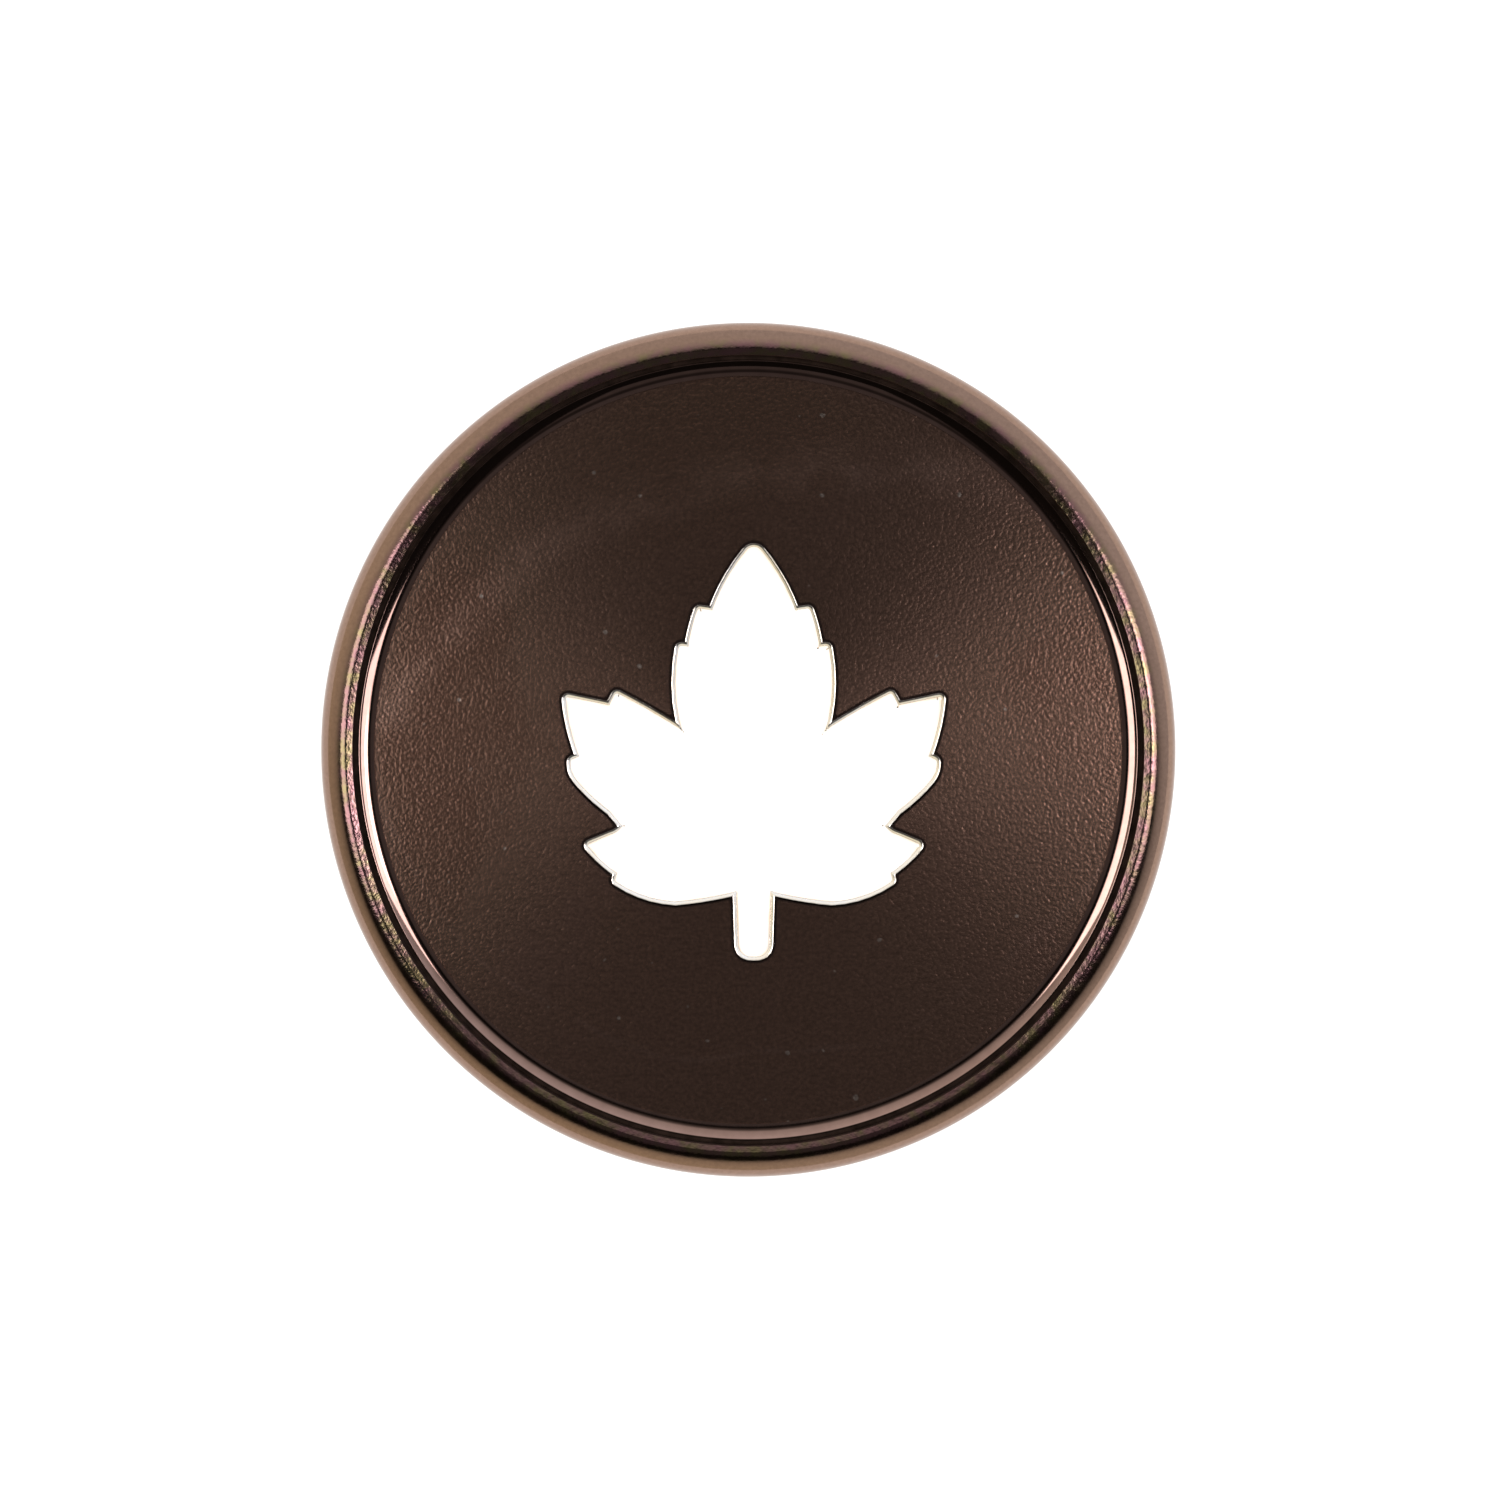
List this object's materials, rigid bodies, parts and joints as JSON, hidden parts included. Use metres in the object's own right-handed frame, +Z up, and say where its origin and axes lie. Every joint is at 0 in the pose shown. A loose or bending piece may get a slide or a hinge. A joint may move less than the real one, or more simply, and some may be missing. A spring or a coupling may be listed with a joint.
{
  "type": "ball marker",
  "caption": "Coin-like golf ball marker: a beaded rim ring holds a thin grained plate with a leaf-shaped window between two polished cove rings.",
  "frame": {"origin": "centre of the resting plane under the disc, on the disc's axis", "axes": "+Z up through the disc from the back face to the front face, +Y towards the tip of the leaf window, +X to the right of the leaf seen from the front"},
  "size_m": [0.025, 0.025, 0.0025],
  "materials": {
    "rim_plating": "satin-gloss coffee-brown plating",
    "grained_plating": "fine sand-blasted dark coffee-brown plating",
    "mirror_plating": "mirror-polished coffee-brown plating"
  },
  "bodies": {
    "root": {"rim_ring": "rim_plating", "window_plate": "grained_plating", "front_cove_ring": "mirror_plating", "back_cove_ring": "mirror_plating"}
  },
  "joints": []
}
